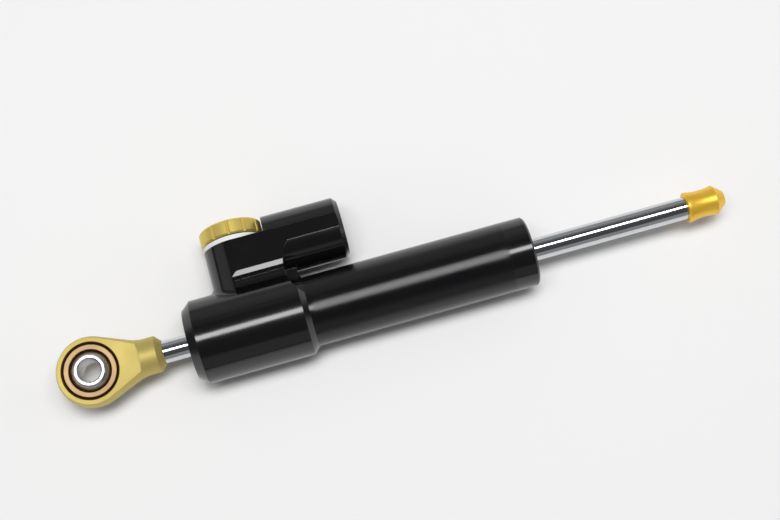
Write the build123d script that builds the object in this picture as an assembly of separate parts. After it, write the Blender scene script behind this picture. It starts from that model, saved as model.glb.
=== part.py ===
from build123d import *
import math
import os

# Steering damper with a through rod, drawn in millimetres as it lies on a bench.
# X runs along the piston rod from the rod end to the end stop, and +Z is up.
# The origin is the centre of the rod end's ball, whose bolt hole runs along Z.
# The body has its own frame, with the adjuster tower along its Y axis and its milled flats
# square to its Z axis. It leans on the bench about the rod, until the knob's rim touches.

bench_lean_deg = 5.9

# Clearances
running = 0.03       # radial gap of a part that slides or turns in another
seated = 0.02        # radial gap of a part that is fixed in its bore
face_gap = 0.1       # axial gap beside a part that turns
overrun = 1.0        # length that a cutter runs past the face it opens

# Piston rod
rod_r = 4.0
stud_r = 3.0
rod_shoulder_depth = 4.0
left_stud_len = 8.5
right_stud_len = 8.0
rod_edge = 0.4
left_room = 2.2        # bare rod left at the full stroke to the right
right_room = 1.6       # bare rod left at the full stroke to the left

# Rod end housing
eye_wall = 3.0
head_t = 9.0
race_seat_chamfer = 0.7
flank_deg = 22.0
neck_fillet = 12.0
facing_reach = 5.2     # how far the flats run past the eye, onto the neck
shank_r = 6.5
shank_len = 6.1
shank_chamfer = 2.2

# Spherical bearing
race_wall = 1.5625
race_edge = 0.4
race_mouth_chamfer = 1.0
ball_r = 7.9375
ball_width = 12.0
ball_bore_r = 4.0
ball_bore_chamfer = 0.45
ball_gap = 0.05

# Cylinder block, along X from its left face
socket_wall = 2.5
nose_chamfer_len = 3.2
nose_chamfer_depth = 2.7
tail_chamfer_len = 2.1
tail_chamfer_depth = 2.1
wiper_len = 3.2
lip_wall = 2.5
rod_seal_len = 3.5
backing_ring_len = 0.8
bush_len = 7.6
circlip_t = 1.1
circlip_land = 0.6
chamber_lead = 7.6
cylinder_seat_len = 5.0
annulus_len = 3.0
tube_socket_len = 8.3
gland_pocket_r = 6.6
rod_hole_gap = 0.3
circlip_depth = 0.8
circlip_grip = 1.4
wiper_lip_len = 1.2
wiper_lip_r = 4.6

# Cylinder tubes
tube_wall = 1.6
tube_len = 80.2
cylinder_r = 8.0
cylinder_wall = 1.0
return_gap = 1.9
cross_port_r = 1.0
cross_port_count = 4

# End gland at the tube's right end
flange_len = 8.9
flange_edge = 0.7
spigot_len = 9.0
nose_len = 4.5
port_margin = 0.5
right_bush_len = 8.0
right_seal_len = 3.5

# Piston
piston_len = 9.0
piston_gap = 0.25
band_len = 3.2
band_depth = 0.9
stroke_out = 7.5
port_clear = 1.0
snap_ring_t = 0.8
snap_ring_depth = 0.6
snap_ring_height = 1.5
ring_gap_deg = 50.0

# Adjuster tower, up the body's Y axis
tower_offset = 23.1
tower_wall = 0.7
tower_top = 30.0
tower_fillet = 2.4
overhang_base = 16.6
bevel_height = 1.8
bevel_depth = 0.36
neck_half = 6.1
neck_tail_inset = 0.6
pocket_inner_x = -4.7
pocket_outer_x = -0.4
seat_ring_r = 2.6
seat_ring_len = 3.0
seat_bore_r = 1.0
feed_r = 1.3
feed_len = 5.0
valve_chamber_r = 3.2
gland_bore_r = 6.0
gland_bore_depth = 7.5
annulus_drill_r = 1.1

# Reservoir
reservoir_r = 11.2
reservoir_k = 27.0
knob_side_gap = 0.5
reservoir_len = 27.6
reservoir_bore_r = 8.8
reservoir_floor = 3.0
reservoir_edge = 1.6
reservoir_drill_r = 0.8
reservoir_drill_inset = 0.6
scoop_r = 14.5
scoop_x = 29.9
scoop_k = 14.6
web_half = 3.0
floating_piston_len = 5.5
floating_piston_start = 5.0
floating_cup_r = 6.0
floating_cup_depth = 2.5
end_plug_len = 4.0
end_plug_inset = 6.7
fill_screw_r = 2.0
fill_head_r = 3.3
fill_head_len = 1.8
fill_hex_r = 1.45
fill_hex_depth = 1.2

# Round-section seals
cord_small = 1.2
cord_medium = 1.6
cord_ease = 0.02
groove_slack = 0.2

# Adjuster
index_ring_t = 1.6
index_lip = 0.1
adjuster_gland_flange_r = 7.3
adjuster_gland_flange_t = 1.6
spindle_r = 2.5
spindle_flange_r = 4.2
spindle_flange_t = 1.5
needle_r = 2.0
needle_len = 14.0
needle_tip_len = 3.0
needle_tip_r = 0.5
needle_lift = 0.6
tongue_len = 3.0
tongue_t = 0.9
tongue_reach = 2.2
tongue_travel = 0.8
knob_lip = 0.3
knob_h = 5.4
knob_gap = 0.5
knob_edge = 0.6
knob_notches = 12
knob_notch_r = 0.55
knob_recess_r = 6.0
knob_recess_depth = 1.4
knob_skirt_bite = 0.6
knob_web_t = 2.2
knob_square = 3.2
knob_screw_r = 1.25
knob_screw_len = 5.0
knob_screw_head_r = 2.6
knob_screw_head_t = 1.2
knob_screw_hex_r = 0.85
detent_r = 1.0
detent_wall = 0.8
detent_sink = 0.35
detent_dimples = 20
dimple_lift = 0.25
spring_r = 0.72
spring_wire_r = 0.18
spring_turns = 5
spring_pitch = 0.62

# End stop on the right end of the rod
stop_len = 14.1
stop_lip_r = 5.45
stop_lip_round = 0.5
stop_lip_len = 1.0
stop_waist_r = 4.95
stop_waist_x = 4.0
stop_max_r = 5.35
stop_max_x = 10.7
stop_tip_r = 2.6

# Radii that follow
race_r = ball_r + race_wall
head_r = race_r + eye_wall
cylinder_out_r = cylinder_r + cylinder_wall
tube_bore_r = cylinder_out_r + return_gap
tube_r = tube_bore_r + tube_wall
block_r = tube_r + socket_wall
facing_r = head_r + facing_reach
index_ring_bore_r = adjuster_gland_flange_r + face_gap
detent_radius_out = index_ring_bore_r + detent_wall + detent_r
tower_r = detent_radius_out + detent_r + tower_wall
index_ring_r = tower_r + index_lip
knob_r = tower_r + knob_lip
knob_skirt_r = detent_radius_out - knob_skirt_bite

# The rod end's flank, which leaves the eye at flank_deg and meets the shank in a hollow blend
flank_turn = math.radians(flank_deg)
flank_x0 = head_r * math.sin(flank_turn)
flank_r0 = head_r * math.cos(flank_turn)
flank_corner_x = flank_x0 + (flank_r0 - shank_r) / math.tan(flank_turn)
blend_len = neck_fillet * math.tan(flank_turn / 2)

# Places along X
shank_x0 = flank_corner_x + blend_len
shank_end_x = shank_x0 + shank_len
block_x0 = shank_end_x + stroke_out + left_room
seal_x0 = block_x0 + wiper_len + lip_wall
backing_x0 = seal_x0 + rod_seal_len
bush_x0 = backing_x0 + backing_ring_len
clip_x0 = bush_x0 + bush_len
chamber_x0 = clip_x0 + circlip_t + circlip_land
cylinder_x0 = chamber_x0 + chamber_lead
annulus_x0 = cylinder_x0 + cylinder_seat_len
tube_x0 = annulus_x0 + annulus_len
block_x1 = tube_x0 + tube_socket_len
neck_x1 = block_x1 - neck_tail_inset
tube_x1 = tube_x0 + tube_len
spigot_x0 = tube_x1 - spigot_len
nose_x0 = spigot_x0 - nose_len
body_x1 = tube_x1 + flange_len
cross_port_x = nose_x0 - port_margin - cross_port_r
tower_x = block_x0 + tower_offset
piston_x1 = cross_port_x - cross_port_r - port_clear - stroke_out
piston_x0 = piston_x1 - piston_len
stroke_in = piston_x0 - (tower_x + feed_r + port_clear)
stop_x0 = body_x1 + stroke_in + right_room
reservoir_x0 = tower_x + knob_r + knob_side_gap
reservoir_x1 = reservoir_x0 + reservoir_len
reservoir_bore_x0 = reservoir_x0 + reservoir_floor
floating_x0 = reservoir_bore_x0 + floating_piston_start
end_plug_x0 = reservoir_x1 - end_plug_inset
end_plug_x1 = end_plug_x0 + end_plug_len

# Heights that follow
valve_floor = tower_top - gland_bore_depth
seat_k0 = cylinder_r + feed_len
seat_k1 = seat_k0 + seat_ring_len
index_k1 = tower_top + index_ring_t
knob_k0 = index_k1 + knob_gap
knob_k1 = knob_k0 + knob_h
knob_web_k1 = knob_k1 - knob_recess_depth
knob_web_k0 = knob_web_k1 - knob_web_t
needle_k0 = seat_k1 - needle_tip_len + needle_lift
spindle_k0 = needle_k0 + needle_len - tongue_reach
detent_x = tower_x - detent_radius_out


# Shapes that repeat

def turned(outline):
    """A solid of revolution about X, from a closed outline of (x, radius) points."""
    wire = Polyline(*[(x, r, 0) for x, r in outline], close=True)
    return revolve(make_face(wire), Axis.X)


def ring(x0, x1, r_in, r_out):
    """A plain ring, or a disc where the inner radius is 0."""
    return turned([(x0, r_in), (x1, r_in), (x1, r_out), (x0, r_out)])


def upright(k0, k1, r, x=tower_x):
    """A round bar along the body's Y axis, from height k0 to k1."""
    return Pos(x, k0, 0) * Rot(X=-90) * Cylinder(r, k1 - k0, align=(Align.CENTER, Align.CENTER, Align.MIN))


def seal_ring(x, cord, r_mid):
    """A round-section ring about X."""
    return Pos(x, 0, 0) * Rot(Y=90) * Torus(r_mid, cord / 2 - cord_ease)


def seal_ring_upright(k, cord, r_mid, x=tower_x):
    """A round-section ring about the tower's axis."""
    return Pos(x, k, 0) * Rot(X=90) * Torus(r_mid, cord / 2 - cord_ease)


def open_ring(x0, thick, r_in, r_out):
    """A snap ring about X, open over ring_gap_deg."""
    blank = ring(x0, x0 + thick, r_in, r_out)
    half = math.radians(ring_gap_deg / 2)
    reach = r_out + overrun
    wedge = make_face(Polyline(
        (0, 0, 0),
        (0, reach * math.cos(half), reach * math.sin(half)),
        (0, reach * math.cos(half), -reach * math.sin(half)),
        close=True,
    ))
    return blank - Pos(x0 - overrun, 0, 0) * extrude(wedge, thick + 2 * overrun, dir=(1, 0, 0))


def leaned(shape):
    """Turn a shape from the body's frame to the bench."""
    return Rot(X=-bench_lean_deg) * shape


def at_reservoir(shape):
    """Move a shape from the rod's axis to the reservoir's axis."""
    return Pos(0, reservoir_k, 0) * shape


# Rod end

def rod_end_outline():
    """Half of the turned rod end: a round eye, a straight flank, a hollow blend and the shank."""
    back_turn = (math.pi * 3 / 2 - flank_turn) / 2
    half_turn = flank_turn / 2
    flank_end = (flank_corner_x - blend_len * math.cos(flank_turn),
                 shank_r + blend_len * math.sin(flank_turn))
    blend_middle = (shank_x0 - neck_fillet * math.sin(half_turn),
                    shank_r + neck_fillet - neck_fillet * math.cos(half_turn))
    eye = ThreePointArc((-head_r, 0), (head_r * math.cos(back_turn), head_r * math.sin(back_turn)),
                        (flank_x0, flank_r0))
    blend = ThreePointArc(flank_end, blend_middle, (shank_x0, shank_r))
    tail = Polyline(
        (shank_x0, shank_r),
        (shank_end_x - shank_chamfer, shank_r),
        (shank_end_x, shank_r - shank_chamfer),
        (shank_end_x, 0),
        (-head_r, 0),
    )
    flank = Line((flank_x0, flank_r0), flank_end)
    return make_face(Wire([*eye.edges(), *flank.edges(), *blend.edges(), *tail.edges()]))


def eye_facings():
    """The two cuts that mill the eye flat, each ending in a round shoulder on the neck."""
    depth = head_r - head_t / 2 + overrun
    cut = Pos(0, 0, head_t / 2) * Cylinder(facing_r, depth, align=(Align.CENTER, Align.CENTER, Align.MIN))
    return cut + Rot(X=180) * cut


def rod_end_housing():
    body = revolve(rod_end_outline(), Axis.X)
    body -= eye_facings()
    body -= Cylinder(race_r, head_t + 2 * overrun)
    mouth = body.edges().filter_by(GeomType.CIRCLE).filter_by(
        lambda e: abs(e.radius - race_r) < seated and abs(e.arc_center.X) < seated)
    body = chamfer(mouth, race_seat_chamfer)
    socket_x0 = shank_end_x - rod_shoulder_depth
    body -= ring(socket_x0, shank_end_x + overrun, 0, rod_r + seated)
    body -= ring(socket_x0 - left_stud_len, socket_x0 + overrun, 0, stud_r + seated)
    return body


def bearing_race():
    blank = Cylinder(race_r, head_t)
    blank = chamfer(blank.edges().filter_by(GeomType.CIRCLE), race_edge)
    race = blank - Sphere(ball_r + ball_gap)
    mouth_r = math.sqrt((ball_r + ball_gap) ** 2 - (head_t / 2) ** 2)
    lips = race.edges().filter_by(GeomType.CIRCLE).filter_by(lambda e: abs(e.radius - mouth_r) < seated)
    return chamfer(lips, race_mouth_chamfer)


def bearing_ball():
    ball = Sphere(ball_r) & Box(2 * ball_r, 2 * ball_r, ball_width)
    ball -= Cylinder(ball_bore_r, ball_width + 2 * overrun)
    rims = ball.edges().filter_by(GeomType.CIRCLE).filter_by(lambda e: abs(e.radius - ball_bore_r) < seated)
    return chamfer(rims, ball_bore_chamfer)


# Rod and piston

def piston_rod():
    shoulder_x = shank_end_x - rod_shoulder_depth
    groove_r = rod_r - snap_ring_depth
    rod = turned([
        (shoulder_x - left_stud_len + face_gap, 0),
        (stop_x0 + right_stud_len, 0),
        (stop_x0 + right_stud_len, stud_r - rod_edge),
        (stop_x0 + right_stud_len - rod_edge, stud_r),
        (stop_x0, stud_r),
        (stop_x0, rod_r),
        (shoulder_x + rod_edge, rod_r),
        (shoulder_x, rod_r - rod_edge),
        (shoulder_x, stud_r),
        (shoulder_x - left_stud_len + face_gap + rod_edge, stud_r),
        (shoulder_x - left_stud_len + face_gap, stud_r - rod_edge),
    ])
    for x0 in snap_ring_places():
        rod -= ring(x0, x0 + snap_ring_t, groove_r, rod_r + overrun)
    return rod


def snap_ring_places():
    return (piston_x0 - face_gap - snap_ring_t, piston_x1 + face_gap)


def piston_snap_rings():
    inner = rod_r - snap_ring_depth
    outer = inner + snap_ring_height
    return Compound([open_ring(x0, snap_ring_t, inner, outer) for x0 in snap_ring_places()])


def band_x0():
    return (piston_x0 + piston_x1 - band_len) / 2


def band_floor_r():
    return cylinder_r - band_depth


def piston():
    body = turned([
        (piston_x0, rod_r + running),
        (piston_x1, rod_r + running),
        (piston_x1, cylinder_r - piston_gap - rod_edge),
        (piston_x1 - rod_edge, cylinder_r - piston_gap),
        (piston_x0 + rod_edge, cylinder_r - piston_gap),
        (piston_x0, cylinder_r - piston_gap - rod_edge),
    ])
    body -= ring(band_x0(), band_x0() + band_len, band_floor_r(), cylinder_r)
    middle = (piston_x0 + piston_x1) / 2
    floor_r = band_floor_r() - cord_small
    body -= ring(middle - cord_small / 2 - groove_slack / 2, middle + cord_small / 2 + groove_slack / 2,
                 floor_r, cylinder_r)
    return body


def piston_band():
    return ring(band_x0() + seated, band_x0() + band_len - seated, band_floor_r(), cylinder_r - running)


def piston_o_ring():
    return seal_ring((piston_x0 + piston_x1) / 2, cord_small, band_floor_r() - cord_small / 2)


def rod_end_stop():
    """The gold stop: a rolled lip, a drawn-in waist, a widest ring and a coned tip."""
    lip_end = (stop_x0 + stop_lip_len, stop_lip_r)
    lip_start = (stop_x0, stop_lip_r - stop_lip_round)
    half_turn = stop_lip_round * (1 - math.sqrt(0.5))
    lip_middle = (stop_x0 + half_turn, stop_lip_r - half_turn)
    waist = (stop_x0 + stop_waist_x, stop_waist_r)
    widest = (stop_x0 + stop_max_x, stop_max_r)
    tip = (stop_x0 + stop_len, stop_tip_r)
    hole_x1 = stop_x0 + right_stud_len + face_gap
    hole_r = stud_r + seated
    outline = [
        Line((stop_x0, hole_r), lip_start),
        ThreePointArc(lip_start, lip_middle, (stop_x0 + stop_lip_round, stop_lip_r)),
        Line((stop_x0 + stop_lip_round, stop_lip_r), lip_end),
        ThreePointArc(lip_end, waist, widest),
        Line(widest, tip),
        Line(tip, (stop_x0 + stop_len, 0)),
        Line((stop_x0 + stop_len, 0), (hole_x1, 0)),
        Line((hole_x1, 0), (hole_x1, hole_r)),
        Line((hole_x1, hole_r), (stop_x0, hole_r)),
    ]
    return revolve(make_face(Wire([edge for piece in outline for edge in piece.edges()])), Axis.X)


# Block with its tower and reservoir

def block_bore():
    """All the turned bores on the rod's axis, as one cutter."""
    hole_r = rod_r + rod_hole_gap
    return turned([
        (block_x0 - overrun, 0),
        (block_x1 + overrun, 0),
        (block_x1 + overrun, tube_r + seated),
        (tube_x0, tube_r + seated),
        (tube_x0, tube_bore_r),
        (annulus_x0, tube_bore_r),
        (annulus_x0, cylinder_out_r + seated),
        (cylinder_x0, cylinder_out_r + seated),
        (cylinder_x0, cylinder_r),
        (chamber_x0, cylinder_r),
        (chamber_x0, gland_pocket_r),
        (clip_x0 + circlip_t, gland_pocket_r),
        (clip_x0 + circlip_t, gland_pocket_r + circlip_depth),
        (clip_x0, gland_pocket_r + circlip_depth),
        (clip_x0, gland_pocket_r),
        (seal_x0, gland_pocket_r),
        (seal_x0, hole_r),
        (seal_x0 - lip_wall, hole_r),
        (seal_x0 - lip_wall, gland_pocket_r),
        (block_x0 - overrun, gland_pocket_r),
    ])


def block_drum():
    return turned([
        (block_x0, 0),
        (block_x1, 0),
        (block_x1, block_r - tail_chamfer_depth),
        (block_x1 - tail_chamfer_len, block_r),
        (block_x0 + nose_chamfer_len, block_r),
        (block_x0, block_r - nose_chamfer_depth),
    ])


def reservoir_barrel():
    barrel = ring(reservoir_x0, reservoir_x1, 0, reservoir_r)
    barrel = chamfer(barrel.edges().filter_by(GeomType.CIRCLE).sort_by(Axis.X)[-1], reservoir_edge)
    flats = Pos((reservoir_x0 + reservoir_x1) / 2, 0, 0) * Box(
        reservoir_len, 2 * reservoir_r, 2 * tower_r)
    return at_reservoir(barrel & flats)


def side_prism(x0, x1, k0, k1, z0, z1):
    """A box given by its limits in the body's frame."""
    return Pos(x0, k0, z0) * Box(x1 - x0, k1 - k0, z1 - z0, align=(Align.MIN, Align.MIN, Align.MIN))


def pocket(side):
    """The room under the overhang, on one side of the neck, with its slanted left end."""
    reach = side * (block_r + overrun)
    plan = make_face(Polyline(
        (tower_x + pocket_inner_x, 0, side * neck_half),
        (tower_x + pocket_outer_x, 0, reach),
        (neck_x1 + overrun, 0, reach),
        (neck_x1 + overrun, 0, side * neck_half),
        close=True,
    ))
    return extrude(plan, overhang_base, dir=(0, 1, 0)) - block_drum() + overhang_bevel(side)


def overhang_bevel(side):
    """The cut that slopes the slab's lower edge a little and runs out on the round tower."""
    start_x = tower_x - tower_r
    reach = side * (block_r + overrun)
    slope = make_face(Polyline(
        (start_x, overhang_base, side * (tower_r - bevel_depth)),
        (start_x, overhang_base + bevel_height, side * tower_r),
        (start_x, overhang_base + bevel_height, reach),
        (start_x, overhang_base, reach),
        close=True,
    ))
    return extrude(slope, neck_x1 + overrun - start_x, dir=(1, 0, 0))


def scoop(side):
    """The round cut beside the web, between the reservoir and the block's corner."""
    depth = block_r + overrun - web_half
    cutter = Pos(tower_x + scoop_x, scoop_k, side * (web_half + depth / 2)) * Cylinder(scoop_r, depth)
    return cutter - ring(block_x0, reservoir_x1, 0, block_r - tail_chamfer_depth)


def drum_with_tower():
    """The drum with its round tower, blended where they meet."""
    body = block_drum() + upright(0, tower_top, tower_r)
    return fillet(body.edges().filter_by(GeomType.BSPLINE), tower_fillet)


def upper_body():
    """The blended tower with its neck and overhanging slab, and the pockets under the overhang."""
    body = drum_with_tower()
    body += side_prism(tower_x, reservoir_x0 + reservoir_floor, 0, tower_top, -tower_r, tower_r)
    body += side_prism(tower_x, neck_x1, 0, reservoir_k, -tower_r, tower_r)
    return body - pocket(1) - pocket(-1)


def valve_bores():
    """The tower's stepped bore, the feed to the left chamber and the two drillings."""
    bore = upright(0, seat_k0 + overrun, feed_r)
    bore += upright(seat_k0, tower_top, seat_ring_r + seated)
    bore += upright(seat_k1, tower_top, valve_chamber_r)
    bore += upright(valve_floor, tower_top + overrun, gland_bore_r + seated)
    start = Vector((annulus_x0 + tube_x0) / 2, (cylinder_out_r + tube_bore_r) / 2, 0)
    goal = Vector(tower_x, (seat_k1 + valve_floor) / 2, 0)
    along = goal - start
    drill = Plane(origin=start, z_dir=along)
    bore += drill * Cylinder(annulus_drill_r, along.length, align=(Align.CENTER, Align.CENTER, Align.MIN))
    drill_k = reservoir_k - reservoir_bore_r + reservoir_drill_r + reservoir_drill_inset
    bore += Pos(0, drill_k, 0) * ring(tower_x, reservoir_bore_x0 + overrun, 0, reservoir_drill_r)
    return bore


def reservoir_bore():
    bore = ring(reservoir_bore_x0, reservoir_x1 + overrun, 0, reservoir_bore_r)
    bore += ring(end_plug_x1, end_plug_x1 + circlip_t, 0, reservoir_bore_r + circlip_depth)
    return at_reservoir(bore)


def detent_hole():
    return upright(detent_hole_floor(), index_k1, detent_r + running, detent_x)


def detent_hole_floor():
    return detent_ball_k() - detent_r - spring_turns * spring_pitch - spring_wire_r * 2


def detent_ball_k():
    return index_k1 + knob_gap + detent_sink - detent_r


def block_rings():
    """Grooves in the block for the cylinder's and the tube's seals."""
    cut = ring(cylinder_ring_x() - cord_medium / 2 - groove_slack / 2,
               cylinder_ring_x() + cord_medium / 2 + groove_slack / 2,
               0, cylinder_out_r + seated + cord_medium)
    cut += ring(tube_ring_x() - cord_small / 2 - groove_slack / 2,
                tube_ring_x() + cord_small / 2 + groove_slack / 2, 0, tube_r + seated + cord_small)
    return cut


def cylinder_ring_x():
    return (cylinder_x0 + annulus_x0) / 2


def tube_ring_x():
    return tube_x0 + cord_small + groove_slack


def valve_block():
    body = upper_body()
    body -= scoop(1)
    body -= scoop(-1)
    body += reservoir_barrel()
    body -= block_bore() + block_rings()
    body -= valve_bores()
    body -= reservoir_bore()
    body -= detent_hole()
    return leaned(body)


# Pieces in the block's bores

def rod_wiper(x0, outward):
    """A wiper ring whose lip points out of the bore, towards outward (-1 left, 1 right)."""
    x1 = x0 + outward * (wiper_len - wiper_lip_len)
    x2 = x0 + outward * wiper_len
    return turned([
        (x0, rod_r + running),
        (x0, gland_pocket_r - seated),
        (x1, gland_pocket_r - seated),
        (x1, wiper_lip_r + wiper_lip_len),
        (x2, wiper_lip_r),
        (x2, rod_r + running),
    ])


def rod_seal(x0, length):
    groove = length / 3
    seal = ring(x0 + seated, x0 + length - seated, rod_r + running, gland_pocket_r - seated)
    mid = (rod_r + gland_pocket_r) / 2
    return seal - ring(x0 + length - groove, x0 + length + overrun, mid - groove / 3, mid + groove / 3)


def rod_bush(x0, length):
    return ring(x0, x0 + length, rod_r + running, gland_pocket_r - seated)


def backing_ring():
    return ring(backing_x0, bush_x0, rod_r + rod_hole_gap, gland_pocket_r - seated)


def bush_circlip():
    outer = gland_pocket_r + circlip_depth
    return open_ring(clip_x0 + seated, circlip_t - 2 * seated, outer - circlip_grip, outer - seated)


def inner_cylinder():
    tube = ring(cylinder_x0, spigot_x0, cylinder_r, cylinder_out_r)
    for turn in range(cross_port_count):
        port = Pos(cross_port_x, 0, 0) * Rot(X=360 / cross_port_count * turn) * Cylinder(
            cross_port_r, cylinder_out_r + overrun, align=(Align.CENTER, Align.CENTER, Align.MIN))
        tube -= port
    return tube


def main_tube():
    return ring(tube_x0, tube_x1, tube_bore_r, tube_r)


def end_gland():
    nose_r = cylinder_r - seated
    spigot_r = tube_bore_r - seated
    hole_r = rod_r + rod_hole_gap
    bush_x1 = nose_x0 + right_bush_len
    seal_x1 = bush_x1 + right_seal_len
    wiper_x0 = body_x1 - wiper_len
    gland = turned([
        (nose_x0, gland_pocket_r),
        (nose_x0, nose_r),
        (spigot_x0, nose_r),
        (spigot_x0, spigot_r),
        (tube_x1, spigot_r),
        (tube_x1, tube_r),
        (body_x1 - flange_edge, tube_r),
        (body_x1, tube_r - flange_edge),
        (body_x1, gland_pocket_r),
        (wiper_x0, gland_pocket_r),
        (wiper_x0, hole_r),
        (seal_x1, hole_r),
        (seal_x1, gland_pocket_r),
    ])
    gland -= ring(nose_ring_x() - cord_small / 2 - groove_slack / 2,
                  nose_ring_x() + cord_small / 2 + groove_slack / 2, cylinder_r - cord_small, tube_r)
    gland -= ring(spigot_ring_x() - cord_medium / 2 - groove_slack / 2,
                  spigot_ring_x() + cord_medium / 2 + groove_slack / 2, tube_bore_r - cord_medium, tube_r)
    return gland


def nose_ring_x():
    return (nose_x0 + spigot_x0) / 2


def spigot_ring_x():
    return spigot_x0 + cord_medium + groove_slack


def cylinder_seals():
    left = seal_ring(cylinder_ring_x(), cord_medium, cylinder_out_r + seated + cord_medium / 2)
    right = seal_ring(nose_ring_x(), cord_small, cylinder_r - cord_small / 2)
    return Compound([left, right])


def tube_seals():
    left = seal_ring(tube_ring_x(), cord_small, tube_r + seated + cord_small / 2)
    right = seal_ring(spigot_ring_x(), cord_medium, tube_bore_r - cord_medium / 2)
    return Compound([left, right])


# Reservoir pieces

def floating_piston():
    x1 = floating_x0 + floating_piston_len
    middle = (floating_x0 + x1) / 2
    body = ring(floating_x0, x1, 0, reservoir_bore_r - running)
    body -= ring(x1 - floating_cup_depth, x1 + overrun, 0, floating_cup_r)
    body -= ring(middle - cord_medium / 2 - groove_slack / 2, middle + cord_medium / 2 + groove_slack / 2,
                 reservoir_bore_r - running - cord_medium, reservoir_bore_r)
    return leaned(at_reservoir(body))


def floating_piston_o_ring():
    middle = floating_x0 + floating_piston_len / 2
    return leaned(at_reservoir(seal_ring(middle, cord_medium, reservoir_bore_r - running - cord_medium / 2)))


def reservoir_end_plug():
    middle = (end_plug_x0 + end_plug_x1) / 2
    body = ring(end_plug_x0, end_plug_x1, fill_screw_r + seated, reservoir_bore_r - seated)
    body -= ring(middle - cord_medium / 2 - groove_slack / 2, middle + cord_medium / 2 + groove_slack / 2,
                 reservoir_bore_r - cord_medium, reservoir_bore_r)
    return leaned(at_reservoir(body))


def end_plug_o_ring():
    middle = (end_plug_x0 + end_plug_x1) / 2
    return leaned(at_reservoir(seal_ring(middle, cord_medium, reservoir_bore_r - cord_medium / 2)))


def reservoir_circlip():
    outer = reservoir_bore_r + circlip_depth
    clip = open_ring(end_plug_x1 + seated, circlip_t - 2 * seated, outer - circlip_grip, outer - seated)
    return leaned(at_reservoir(clip))


def fill_screw():
    head_x1 = end_plug_x1 + fill_head_len
    screw = ring(end_plug_x0, end_plug_x1, 0, fill_screw_r)
    screw += ring(end_plug_x1, head_x1, 0, fill_head_r)
    socket = extrude(Plane.YZ * RegularPolygon(fill_hex_r, 6), fill_hex_depth + overrun)
    screw -= Pos(head_x1 - fill_hex_depth, 0, 0) * socket
    return leaned(at_reservoir(screw))


# Adjuster pieces

def index_ring():
    body = upright(tower_top, index_k1, index_ring_r)
    body -= upright(tower_top, index_k1, index_ring_bore_r + seated)
    return leaned(body - detent_hole())


def adjuster_gland():
    """The screwed plug that guides the needle and the spindle."""
    flange_k1 = tower_top + adjuster_gland_flange_t
    body = upright(valve_floor, tower_top, gland_bore_r)
    body += upright(tower_top, flange_k1, adjuster_gland_flange_r)
    body -= upright(valve_floor, flange_k1, needle_r + running)
    body -= upright(spindle_k0, flange_k1, spindle_r + running)
    body -= gland_groove_cut()
    body -= stem_groove_cut()
    return leaned(body)


def gland_ring_k():
    return valve_floor + cord_medium


def stem_ring_k():
    return (spindle_k0 + tower_top + adjuster_gland_flange_t) / 2


def gland_groove_cut():
    half = (cord_medium + groove_slack) / 2
    outer = upright(gland_ring_k() - half, gland_ring_k() + half, gland_bore_r + overrun)
    return outer - upright(gland_ring_k() - half, gland_ring_k() + half, gland_bore_r - cord_medium)


def stem_groove_cut():
    half = (cord_small + groove_slack) / 2
    return upright(stem_ring_k() - half, stem_ring_k() + half, spindle_r + running + cord_small)


def adjuster_seals():
    outer = seal_ring_upright(gland_ring_k(), cord_medium, gland_bore_r - cord_medium / 2)
    inner = seal_ring_upright(stem_ring_k(), cord_small, spindle_r + running + cord_small / 2)
    return leaned(Compound([outer, inner]))


def valve_seat():
    body = upright(seat_k0, seat_k1, seat_ring_r) - upright(seat_k0, seat_k1, seat_bore_r)
    return leaned(body)


def tongue_slot(width, k0, k1):
    return Pos(tower_x, k0, 0) * Box(
        2 * spindle_r + overrun, k1 - k0, width, align=(Align.CENTER, Align.MIN, Align.CENTER))


def metering_needle():
    k1 = needle_k0 + needle_len
    tip_k1 = needle_k0 + needle_tip_len
    bar_k1 = k1 - tongue_len
    outline = [
        (needle_k0, 0),
        (k1, 0),
        (k1, needle_r),
        (tip_k1, needle_r),
        (tip_k1, seat_bore_r - running),
        (needle_k0, needle_tip_r),
    ]
    body = turned(outline)
    body = Pos(tower_x, 0, 0) * Rot(Z=90) * body
    blade = Pos(tower_x, bar_k1, 0) * Box(
        2 * needle_r, tongue_len, tongue_t, align=(Align.CENTER, Align.MIN, Align.CENTER))
    body = (body - upright(bar_k1, k1 + overrun, needle_r + overrun)) + (body & blade)
    return leaned(body)


def adjuster_spindle():
    """The stem turns with the knob and drives the needle's tongue in its slot."""
    flange_k0 = tower_top + adjuster_gland_flange_t + face_gap
    flange_k1 = flange_k0 + spindle_flange_t
    square_k1 = knob_web_k1
    body = upright(spindle_k0 + face_gap, flange_k1, spindle_r)
    body += upright(flange_k0, flange_k1, spindle_flange_r)
    body += Pos(tower_x, flange_k1, 0) * Box(
        knob_square, square_k1 - flange_k1, knob_square, align=(Align.CENTER, Align.MIN, Align.CENTER))
    body -= tongue_slot(tongue_t + 2 * running, spindle_k0, spindle_k0 + tongue_reach + tongue_travel)
    screw_k0 = square_k1 - knob_screw_len + knob_screw_head_t
    body -= upright(screw_k0, square_k1 + overrun, knob_screw_r + seated)
    return leaned(body)


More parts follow.
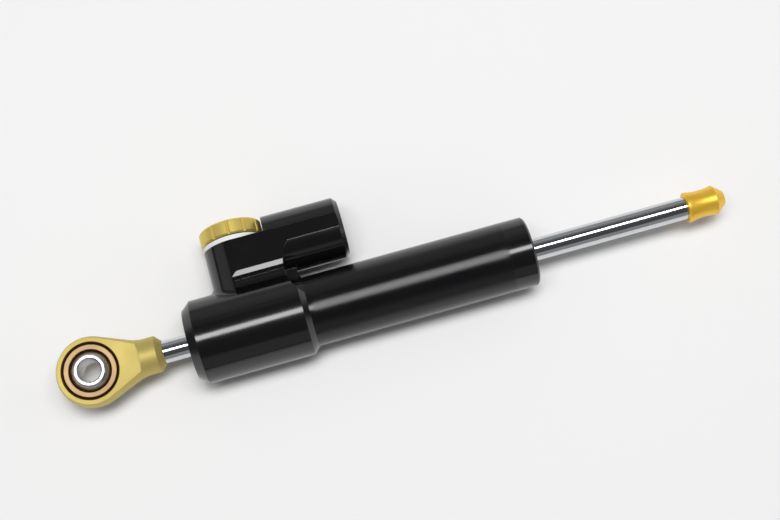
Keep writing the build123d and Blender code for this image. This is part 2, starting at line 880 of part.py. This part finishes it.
def adjuster_knob():
    body = upright(knob_k0, knob_k1, knob_r)
    body = chamfer(body.edges().filter_by(GeomType.CIRCLE), knob_edge)
    for turn in range(knob_notches):
        angle = math.radians(360 / knob_notches * turn)
        x = tower_x + knob_r * math.sin(angle)
        z = knob_r * math.cos(angle)
        body -= Pos(0, 0, z) * upright(knob_k0 - overrun, knob_k1 + overrun, knob_notch_r, x)
    body -= upright(knob_web_k1, knob_k1 + overrun, knob_recess_r)
    skirt_clear = upright(knob_k0 - overrun, knob_web_k0, knob_skirt_r)
    body -= skirt_clear
    body -= Pos(tower_x, knob_web_k0, 0) * Box(
        knob_square + 2 * seated, knob_web_t + overrun, knob_square + 2 * seated,
        align=(Align.CENTER, Align.MIN, Align.CENTER))
    body -= Pos(tower_x, detent_ball_k(), 0) * Rot(X=90) * Torus(detent_radius_out, detent_r + running)
    for turn in range(detent_dimples):
        angle = math.radians(360 / detent_dimples * turn - 90)
        x = tower_x + detent_radius_out * math.sin(angle)
        z = detent_radius_out * math.cos(angle)
        body -= Pos(x, detent_ball_k() + dimple_lift, z) * Sphere(detent_r)
    return leaned(body)


def knob_screw():
    k0 = knob_web_k1
    head_k1 = k0 + knob_screw_head_t
    body = upright(head_k1 - knob_screw_len, head_k1, knob_screw_r)
    body += upright(k0, head_k1, knob_screw_head_r)
    hex_face = Plane.XZ * RegularPolygon(knob_screw_hex_r, 6)
    socket = Pos(tower_x, head_k1 + overrun, 0) * extrude(hex_face, knob_screw_head_t / 2 + overrun)
    return leaned(body - socket)


def detent_ball():
    return leaned(Pos(detent_x, detent_ball_k(), 0) * Sphere(detent_r))


def detent_spring():
    """Five turns of wire under the detent ball."""
    height = spring_turns * spring_pitch
    path = Helix(spring_pitch, height, spring_r - spring_wire_r)
    start = path @ 0
    profile = Plane(origin=start, z_dir=path % 0) * Circle(spring_wire_r)
    coil = sweep(profile, path, is_frenet=True)
    return leaned(Pos(detent_x, detent_hole_floor() + spring_wire_r, 0) * Rot(X=-90) * coil)


NODES = {
    "valve_block": valve_block,
    "main_tube": main_tube,
    "inner_cylinder": inner_cylinder,
    "end_gland": end_gland,
    "cylinder_seals": cylinder_seals,
    "tube_seals": tube_seals,
    "left_rod_wiper": lambda: rod_wiper(block_x0 + wiper_len, -1),
    "left_rod_seal": lambda: rod_seal(seal_x0, rod_seal_len),
    "left_backing_ring": backing_ring,
    "left_rod_bush": lambda: rod_bush(bush_x0, bush_len),
    "left_bush_circlip": bush_circlip,
    "right_rod_bush": lambda: rod_bush(nose_x0, right_bush_len),
    "right_rod_seal": lambda: rod_seal(nose_x0 + right_bush_len, right_seal_len),
    "right_rod_wiper": lambda: rod_wiper(body_x1 - wiper_len, 1),
    "reservoir_end_plug": reservoir_end_plug,
    "end_plug_o_ring": end_plug_o_ring,
    "reservoir_circlip": reservoir_circlip,
    "fill_screw": fill_screw,
    "index_ring": index_ring,
    "adjuster_gland": adjuster_gland,
    "adjuster_seals": adjuster_seals,
    "valve_seat": valve_seat,
    "detent_ball": detent_ball,
    "detent_spring": detent_spring,
    "piston": piston,
    "piston_band": piston_band,
    "piston_o_ring": piston_o_ring,
    "piston_rod": piston_rod,
    "piston_snap_rings": piston_snap_rings,
    "rod_end_housing": rod_end_housing,
    "bearing_race": bearing_race,
    "rod_end_stop": rod_end_stop,
    "bearing_ball": bearing_ball,
    "adjuster_knob": adjuster_knob,
    "knob_screw": knob_screw,
    "adjuster_spindle": adjuster_spindle,
    "metering_needle": metering_needle,
    "floating_piston": floating_piston,
    "floating_piston_o_ring": floating_piston_o_ring,
}

os.makedirs("parts", exist_ok=True)
for node, make in NODES.items():
    export_step(make(), "parts/" + node + ".step")
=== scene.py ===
import math

import bpy
from mathutils import Matrix, Vector

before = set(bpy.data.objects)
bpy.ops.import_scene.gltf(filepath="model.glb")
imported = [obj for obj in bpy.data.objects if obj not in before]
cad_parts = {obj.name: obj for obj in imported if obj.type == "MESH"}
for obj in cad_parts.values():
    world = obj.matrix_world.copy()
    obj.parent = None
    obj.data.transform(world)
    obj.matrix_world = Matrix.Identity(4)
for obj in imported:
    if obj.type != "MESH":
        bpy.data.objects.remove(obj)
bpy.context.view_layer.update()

# The stage, in metres. The damper lies on the bench, 15 mm below the rod's axis.
bench_z = -0.015
lean = math.radians(5.9)

# The camera, fitted to the photograph in the body's own frame, which leans about the rod
cam_azimuth = math.radians(-11.66)
cam_elevation = math.radians(73.83)
cam_roll = math.radians(-4.21)
cam_distance = 0.5146
cam_target = Vector((0.1107, 0.0105, 0.0))
cam_lens = 66.92

cam_sensor = 36.0
cam_near = 0.01
cam_far = 20.0

# The turned marks on the tube, in metres
tube_marks_x0 = 0.0795
tube_marks_x1 = 0.1500
tube_marks_fade_in = 0.001
tube_marks_fade_out = 0.0004
tube_mark_pitch = 0.00125    # along the tube
tube_mark_twist = -89.0      # waves once round the tube
tube_mark_jitter = 2.4
tube_edge = 0.00018
tube_ior = 1.5

# Heights of the fine grain, in metres, and tones that finishes share
grain_height = 0.00002
soft_grain_height = 0.00003
patch_shade = 0.82
soft_shade = 0.85
# Painted shade: the dark brown laid into the rings round the bearing race
painted_shade_brown = (0.10, 0.042, 0.014)
anodised_black = (0.0045, 0.0045, 0.0052)

# The floor's two tones, and the room as matt and as shining surfaces meet it
floor_pale = (0.86, 0.86, 0.862)
floor_grey = (0.83, 0.83, 0.834)
room_matt = (0.12, 0.1205, 0.1215)
room_mirrored = (0.07, 0.07, 0.072)


# Small helpers for node materials

def make_material(name):
    mat = bpy.data.materials.new(name)
    mat.use_nodes = True
    tree = mat.node_tree
    tree.nodes.clear()
    out = tree.nodes.new("ShaderNodeOutputMaterial")
    shader = tree.nodes.new("ShaderNodeBsdfPrincipled")
    tree.links.new(shader.outputs["BSDF"], out.inputs["Surface"])
    return mat, tree, shader


def plug(tree, value, socket):
    """Join an output to a socket, or set the socket to a plain value."""
    if isinstance(value, bpy.types.NodeSocket):
        tree.links.new(value, socket)
    else:
        socket.default_value = value


def math_node(tree, operation, *values):
    node = tree.nodes.new("ShaderNodeMath")
    node.operation = operation
    for socket, value in zip(node.inputs, values):
        plug(tree, value, socket)
    return node.outputs[0]


def object_place(tree):
    """The point's x, y and z in the row frame."""
    coords = tree.nodes.new("ShaderNodeTexCoord")
    split = tree.nodes.new("ShaderNodeSeparateXYZ")
    tree.links.new(coords.outputs["Object"], split.inputs[0])
    return coords.outputs["Object"], split.outputs


def noise(tree, vector, scale, detail=3.0, rough=0.55):
    node = tree.nodes.new("ShaderNodeTexNoise")
    tree.links.new(vector, node.inputs["Vector"])
    node.inputs["Scale"].default_value = scale
    node.inputs["Detail"].default_value = detail
    node.inputs["Roughness"].default_value = rough
    return node.outputs["Fac"]


def stretched(tree, vector, scale):
    node = tree.nodes.new("ShaderNodeMapping")
    tree.links.new(vector, node.inputs["Vector"])
    node.inputs["Scale"].default_value = scale
    return node.outputs["Vector"]


def remap(tree, value, in0, in1, out0, out1):
    node = tree.nodes.new("ShaderNodeMapRange")
    plug(tree, value, node.inputs["Value"])
    for key, number in (("From Min", in0), ("From Max", in1), ("To Min", out0), ("To Max", out1)):
        node.inputs[key].default_value = number
    return node.outputs["Result"]


def mix_color(tree, factor, a, b):
    node = tree.nodes.new("ShaderNodeMix")
    node.data_type = "RGBA"
    plug(tree, factor, node.inputs["Factor"])
    plug(tree, a, node.inputs[6])
    plug(tree, b, node.inputs[7])
    return node.outputs[2]


def bevel_normal(tree, radius):
    node = tree.nodes.new("ShaderNodeBevel")
    node.samples = 6
    node.inputs["Radius"].default_value = radius
    return node.outputs["Normal"]


def edge_mask(tree, radius):
    """1 on a sharp edge, falling to 0 within radius of it."""
    rounded = bevel_normal(tree, radius)
    geometry = tree.nodes.new("ShaderNodeNewGeometry")
    dot = tree.nodes.new("ShaderNodeVectorMath")
    dot.operation = "DOT_PRODUCT"
    tree.links.new(rounded, dot.inputs[0])
    tree.links.new(geometry.outputs["Normal"], dot.inputs[1])
    return remap(tree, dot.outputs["Value"], 0.98, 0.80, 0.0, 1.0)


def bump(tree, height, strength, distance, normal=None):
    node = tree.nodes.new("ShaderNodeBump")
    plug(tree, height, node.inputs["Height"])
    node.inputs["Strength"].default_value = strength
    node.inputs["Distance"].default_value = distance
    if normal is not None:
        tree.links.new(normal, node.inputs["Normal"])
    return node.outputs["Normal"]


def color(r, g, b):
    return (r, g, b, 1.0)


def ring_mask(tree, x, y, inner, outer, blur=0.00012):
    """1 between two radii about the vertical axis."""
    radius = math_node(tree, "SQRT", math_node(tree, "ADD", math_node(tree, "MULTIPLY", x, x),
                                               math_node(tree, "MULTIPLY", y, y)))
    return math_node(tree, "MULTIPLY", remap(tree, radius, inner - blur, inner, 0.0, 1.0),
                     remap(tree, radius, outer, outer + blur, 1.0, 0.0))


def metal(name, tone, worn, rough, metallic=1.0, grain=0.35, grain_scale=1500.0, lathe=None, edge=0.00018,
          wear=0.5, ior=1.5, smudge=0.06, painted_shade_rings=()):
    """A metal finish: rounded edges, patchy roughness, fine grain, and lathe marks along an axis if asked.

    The rings are pairs of radii about the vertical axis between which the tone turns dark brown: painted
    shade in the race's mouth and on the chamfers round the race.
    """
    mat, tree, shader = make_material(name)
    place, (x, y, z) = object_place(tree)
    patches = noise(tree, place, 60.0, 4.0)
    fine = noise(tree, place, grain_scale, 2.0)
    flecks = remap(tree, noise(tree, place, 900.0, 3.0), 0.45, 0.62, 0.0, wear)
    worn_mask = math_node(tree, "MULTIPLY", edge_mask(tree, edge), flecks) if edge else flecks
    tinted = mix_color(tree, remap(tree, patches, 0.3, 0.7, 0.0, 0.25), color(*tone),
                       color(*[c * patch_shade for c in tone]))
    face = mix_color(tree, worn_mask, tinted, color(*worn))
    # Rings of painted shade, dark brown, where the race's mouth and chamfers lie in shadow
    for inner, outer in painted_shade_rings:
        face = mix_color(tree, ring_mask(tree, x, y, inner, outer), face, color(*painted_shade_brown))
    plug(tree, face, shader.inputs["Base Color"])
    plug(tree, remap(tree, patches, 0.25, 0.75, rough - smudge, rough + smudge), shader.inputs["Roughness"])
    shader.inputs["Metallic"].default_value = metallic
    shader.inputs["IOR"].default_value = ior
    height = math_node(tree, "MULTIPLY", fine, grain)
    if lathe is not None:
        axis_value, pitch, depth = {"x": x, "y": y, "z": z}[lathe[0]], lathe[1], lathe[2]
        wave = math_node(tree, "SINE", math_node(tree, "MULTIPLY", axis_value, 2 * math.pi / pitch))
        height = math_node(tree, "ADD", height, math_node(tree, "MULTIPLY", wave, depth))
    rounded = bevel_normal(tree, edge) if edge else None
    plug(tree, bump(tree, height, 0.25, grain_height, rounded), shader.inputs["Normal"])
    return mat


def soft(name, tone, rough, grain_scale=2500.0, edge=0.00012):
    """A rubber or plastic finish."""
    mat, tree, shader = make_material(name)
    place, _ = object_place(tree)
    patches = noise(tree, place, 90.0, 3.0)
    plug(tree, mix_color(tree, patches, color(*tone), color(*[c * soft_shade for c in tone])),
         shader.inputs["Base Color"])
    plug(tree, remap(tree, patches, 0.3, 0.7, rough - 0.05, rough + 0.05), shader.inputs["Roughness"])
    grain = noise(tree, place, grain_scale, 2.0)
    plug(tree, bump(tree, grain, 0.2, soft_grain_height, bevel_normal(tree, edge)),
         shader.inputs["Normal"])
    return mat


def tube_black(name, tone, rough):
    """Black anodising over a turned tube: slanting tool marks between the joint and the gland."""
    mat, tree, shader = make_material(name)
    place, (x, y, z) = object_place(tree)
    patches = noise(tree, place, 55.0, 4.0)
    angle = math_node(tree, "ARCTAN2", y, z)
    phase = math_node(tree, "ADD", math_node(tree, "MULTIPLY", x, 2 * math.pi / tube_mark_pitch),
                      math_node(tree, "MULTIPLY", angle, tube_mark_twist))
    wobble = noise(tree, stretched(tree, place, (1.0, 0.15, 0.15)), 900.0, 2.0)
    jitter = math_node(tree, "MULTIPLY", wobble, tube_mark_jitter)
    wave = math_node(tree, "SINE", math_node(tree, "ADD", phase, jitter))
    inside = math_node(tree, "MULTIPLY",
                       remap(tree, x, tube_marks_x0, tube_marks_x0 + tube_marks_fade_in, 0.0, 1.0),
                       remap(tree, x, tube_marks_x1 - tube_marks_fade_out, tube_marks_x1, 1.0, 0.0))
    marks = math_node(tree, "MULTIPLY", wave, inside)
    fine = math_node(tree, "MULTIPLY", noise(tree, place, 1600.0, 2.0), 0.12)
    height = math_node(tree, "ADD", marks, fine)
    shader.inputs["Base Color"].default_value = color(*tone)
    plug(tree, remap(tree, patches, 0.25, 0.75, rough - 0.04, rough + 0.05), shader.inputs["Roughness"])
    shader.inputs["IOR"].default_value = tube_ior
    plug(tree, bump(tree, height, 0.5, grain_height, bevel_normal(tree, tube_edge)),
         shader.inputs["Normal"])
    return mat


black = metal("black_anodised", anodised_black, (0.10, 0.10, 0.10), 0.15, metallic=0.0, grain=0.5,
              grain_scale=1400.0, edge=0.00022, wear=0.35, ior=1.6, smudge=0.03)
tube_mat = tube_black("black_anodised_turned", anodised_black, 0.17)
# The housing's ring round the race, 9.4 to 10.15 mm out, is painted shade
gold = metal("gold_anodised", (0.66, 0.535, 0.17), (0.80, 0.70, 0.42), 0.56, metallic=0.7, grain=0.9,
             edge=0.00022, wear=0.5, painted_shade_rings=((0.0094, 0.01015),))
gold_knob = metal("gold_anodised_knob", (0.80, 0.62, 0.155), (0.84, 0.74, 0.46), 0.44, metallic=0.7,
                  grain=0.8, grain_scale=1800.0, edge=0.00025, wear=0.6)
gold_bright = metal("gold_bright", (1.0, 0.61, 0.065), (0.95, 0.78, 0.40), 0.36, metallic=0.6, grain=0.3,
                    edge=0.0002, wear=0.3, lathe=("x", 0.0003, 0.2))
silver = metal("silver_anodised", (0.80, 0.80, 0.79), (0.90, 0.90, 0.90), 0.36, metallic=0.0, grain=0.3,
               lathe=("y", 0.0002, 0.2))
bright_alu = metal("bright_aluminium", (0.80, 0.80, 0.81), (0.92, 0.92, 0.92), 0.32, lathe=("x", 0.0003, 0.3))
chrome = metal("hard_chrome", (0.66, 0.68, 0.70), (0.86, 0.87, 0.88), 0.12, grain=0.04, edge=0.0,
               wear=0.08, smudge=0.02, lathe=("x", 0.00012, 0.05))
ball_chrome = metal("ball_chrome", (0.62, 0.62, 0.63), (0.88, 0.88, 0.88), 0.28, grain=0.04, edge=0.0,
                    wear=0.08, smudge=0.02)
honed = metal("honed_steel", (0.60, 0.60, 0.60), (0.78, 0.78, 0.78), 0.30, lathe=("x", 0.0002, 0.3))
bright_steel = metal("bright_steel", (0.64, 0.64, 0.65), (0.80, 0.80, 0.80), 0.28, lathe=("x", 0.0003, 0.2))
spring_steel = metal("spring_steel", (0.28, 0.27, 0.26), (0.55, 0.54, 0.52), 0.34, wear=0.6)
black_steel = metal("black_steel", (0.05, 0.05, 0.05), (0.35, 0.35, 0.34), 0.42, wear=0.6)
# The race's mouth, inside 7.4 mm, and its edge from 9.25 to 11 mm are painted shade
race_bronze = metal("bronze_race", (0.54, 0.38, 0.205), (0.80, 0.62, 0.46), 0.52, edge=0.00018, wear=0.5,
                    lathe=("z", 0.0002, 0.2), painted_shade_rings=((0.0, 0.0074), (0.00925, 0.011)))
bush_bronze = metal("bronze_bush", (0.58, 0.40, 0.19), (0.78, 0.62, 0.38), 0.44, grain=0.9)
brass = metal("brass", (0.72, 0.55, 0.24), (0.86, 0.74, 0.46), 0.30, lathe=("y", 0.0003, 0.3))
white_slide = soft("white_slide", (0.84, 0.83, 0.80), 0.45)
rubber = soft("seal_rubber", (0.018, 0.018, 0.018), 0.55)

FINISHES = {
    "valve_block": black,
    "main_tube": tube_mat,
    "inner_cylinder": honed,
    "end_gland": black,
    "cylinder_seals": rubber,
    "tube_seals": rubber,
    "left_rod_wiper": rubber,
    "left_rod_seal": rubber,
    "left_backing_ring": white_slide,
    "left_rod_bush": bush_bronze,
    "left_bush_circlip": spring_steel,
    "right_rod_bush": bush_bronze,
    "right_rod_seal": rubber,
    "right_rod_wiper": rubber,
    "reservoir_end_plug": black,
    "end_plug_o_ring": rubber,
    "reservoir_circlip": spring_steel,
    "fill_screw": black_steel,
    "index_ring": silver,
    "adjuster_gland": brass,
    "adjuster_seals": rubber,
    "valve_seat": bright_steel,
    "detent_ball": ball_chrome,
    "detent_spring": spring_steel,
    "piston": bright_alu,
    "piston_band": white_slide,
    "piston_o_ring": rubber,
    "piston_rod": chrome,
    "piston_snap_rings": spring_steel,
    "rod_end_housing": gold,
    "bearing_race": race_bronze,
    "rod_end_stop": gold_bright,
    "bearing_ball": ball_chrome,
    "adjuster_knob": gold_knob,
    "knob_screw": black_steel,
    "adjuster_spindle": bright_steel,
    "metering_needle": bright_steel,
    "floating_piston": bright_alu,
    "floating_piston_o_ring": rubber,
}

for node, finish in FINISHES.items():
    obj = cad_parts[node]
    for place in obj.material_slots:
        place.link = "OBJECT"
        place.material = finish


# Stage

def mesh_object(name, verts, faces, material, smooth=False):
    mesh = bpy.data.meshes.new(name)
    mesh.from_pydata(verts, [], faces)
    mesh.update()
    if smooth:
        mesh.polygons.foreach_set("use_smooth", [True] * len(mesh.polygons))
    obj = bpy.data.objects.new(name, mesh)
    bpy.context.scene.collection.objects.link(obj)
    obj.data.materials.append(material)
    return obj


def floor_finish():
    mat, tree, shader = make_material("studio_floor")
    place, _ = object_place(tree)
    patches = noise(tree, place, 2.5, 2.0)
    plug(tree, mix_color(tree, patches, color(*floor_pale), color(*floor_grey)),
         shader.inputs["Base Color"])
    shader.inputs["Roughness"].default_value = 0.75
    shader.inputs["Specular IOR Level"].default_value = 0.15
    return mat


def sweep_floor():
    """A flat floor that curves up into a back wall, out of reach of every view."""
    half_width = 3.0
    front = -3.0
    bend_y = 1.3
    bend_r = 0.7
    wall_top = 1.6
    steps = 24
    profile = [(front, bench_z), (bend_y, bench_z)]
    for i in range(1, steps + 1):
        turn = math.pi / 2 * i / steps
        profile.append((bend_y + bend_r * math.sin(turn), bench_z + bend_r * (1 - math.cos(turn))))
    profile.append((bend_y + bend_r, wall_top))
    verts = [(side * half_width, y, z) for y, z in profile for side in (-1, 1)]
    faces = [(2 * i, 2 * i + 1, 2 * i + 3, 2 * i + 2) for i in range(len(profile) - 1)]
    return mesh_object("studio_floor", verts, faces, floor_finish(), smooth=True)


sweep_floor()


def area_light(name, place, target, size_x, size_y, power, tone=(1.0, 1.0, 1.0), spin=0.0, mirrored=True):
    """A rectangular lamp. One that is not mirrored lights matt surfaces only."""
    data = bpy.data.lights.new(name, "AREA")
    data.shape = "RECTANGLE"
    data.size = size_x
    data.size_y = size_y
    data.energy = power
    data.color = tone
    obj = bpy.data.objects.new(name, data)
    bpy.context.scene.collection.objects.link(obj)
    obj.location = place
    away = (Vector(place) - Vector(target)).normalized()
    turn = away.to_track_quat("Z", "Y").to_matrix().to_4x4()
    obj.matrix_world = Matrix.Translation(place) @ turn @ Matrix.Rotation(spin, 4, "Z")
    obj.visible_camera = False
    obj.visible_glossy = mirrored
    return obj


middle = (0.11, 0.01, 0.0)
area_light("key_strip", (0.11, 0.07, 1.15), middle, 1.0, 0.24, 7.5, (1.0, 0.995, 0.985), math.radians(5))
area_light("key_floor", (0.11, 0.16, 1.5), middle, 0.4, 0.4, 8.0, mirrored=False)
area_light("fill_back", (0.15, 1.10, 0.75), middle, 1.6, 0.9, 0.5)
area_light("fill_front", (0.0, -1.10, 0.40), middle, 1.6, 0.7, 0.8)
area_light("fill_right", (1.15, 0.10, 0.60), middle, 1.2, 0.9, 1.8)
area_light("fill_left", (-0.95, 0.10, 0.60), middle, 1.2, 0.9, 1.2)


def world_light():
    """Even daylight for the floor, and a darker room for what shines."""
    world = bpy.data.worlds.new("studio")
    bpy.context.scene.world = world
    world.use_nodes = True
    tree = world.node_tree
    tree.nodes.clear()
    out = tree.nodes.new("ShaderNodeOutputWorld")
    back = tree.nodes.new("ShaderNodeBackground")
    path = tree.nodes.new("ShaderNodeLightPath")
    tree.links.new(back.outputs[0], out.inputs[0])
    room = mix_color(tree, path.outputs["Is Glossy Ray"], color(*room_matt), color(*room_mirrored))
    plug(tree, room, back.inputs["Color"])
    back.inputs["Strength"].default_value = 1.0


world_light()


def aim_camera():
    """The photograph's view: the fitted angles are the body's, so the whole camera leans with it."""
    d = Vector((math.sin(cam_azimuth) * math.cos(cam_elevation),
                -math.cos(cam_azimuth) * math.cos(cam_elevation),
                math.sin(cam_elevation)))
    side = Vector((math.cos(cam_azimuth), math.sin(cam_azimuth), 0.0))
    up = d.cross(side)
    right = side * math.cos(cam_roll) + up * math.sin(cam_roll)
    top = up * math.cos(cam_roll) - side * math.sin(cam_roll)
    place = cam_target + d * cam_distance
    body_view = Matrix((
        (right.x, top.x, d.x, place.x),
        (right.y, top.y, d.y, place.y),
        (right.z, top.z, d.z, place.z),
        (0.0, 0.0, 0.0, 1.0),
    ))
    data = bpy.data.cameras.new("camera")
    data.sensor_width = cam_sensor
    data.lens = cam_lens
    data.clip_start = cam_near
    data.clip_end = cam_far
    cam = bpy.data.objects.new("camera", data)
    bpy.context.scene.collection.objects.link(cam)
    cam.matrix_world = Matrix.Rotation(-lean, 4, "X") @ body_view
    bpy.context.scene.camera = cam


aim_camera()
bpy.context.scene.view_settings.view_transform = "Standard"
